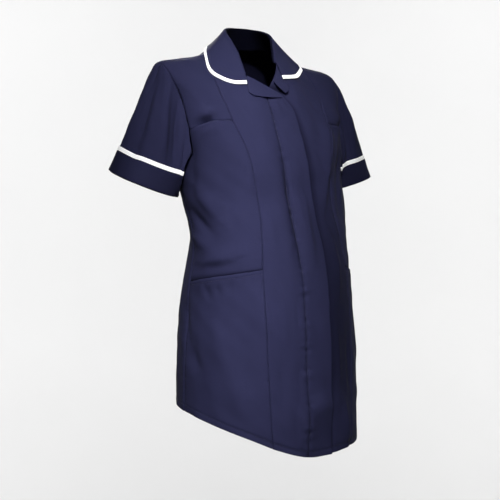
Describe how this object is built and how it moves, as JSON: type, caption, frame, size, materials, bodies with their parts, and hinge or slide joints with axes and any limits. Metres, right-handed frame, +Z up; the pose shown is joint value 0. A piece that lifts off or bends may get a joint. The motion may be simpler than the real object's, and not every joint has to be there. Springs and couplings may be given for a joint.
{
  "type": "medical tunic",
  "caption": "Short-sleeved medical tunic with a maternity front, princess seams, concealed fastening, rounded collar and contrast piping, filled out as worn.",
  "frame": {"origin": "midway between the wearer's shoulders, level with the neck, where the shoulders hold the garment up", "axes": "+Z up along the body, -Y to the wearer's front, +X to the wearer's left"},
  "size_m": [0.6032, 0.2978, 0.7835],
  "materials": {
    "body_cloth": "matt navy plain-weave polyester and cotton",
    "trim_cloth": "matt white plain-weave polyester and cotton"
  },
  "bodies": {
    "root": {"back": "body_cloth", "front_centre_right": "body_cloth", "front_placket": "body_cloth", "front_centre_left": "body_cloth", "front_yoke_right": "body_cloth", "front_yoke_left": "body_cloth", "front_side_right": "body_cloth", "front_side_left": "body_cloth", "pocket_right": "body_cloth", "pocket_left": "body_cloth", "sleeve_right": "body_cloth", "sleeve_left": "body_cloth", "cuff_right": "body_cloth", "cuff_left": "body_cloth", "cuff_trim_right": "trim_cloth", "cuff_trim_left": "trim_cloth", "lapel_right": "body_cloth", "lapel_left": "body_cloth", "collar": "body_cloth", "collar_trim": "trim_cloth"}
  },
  "joints": []
}
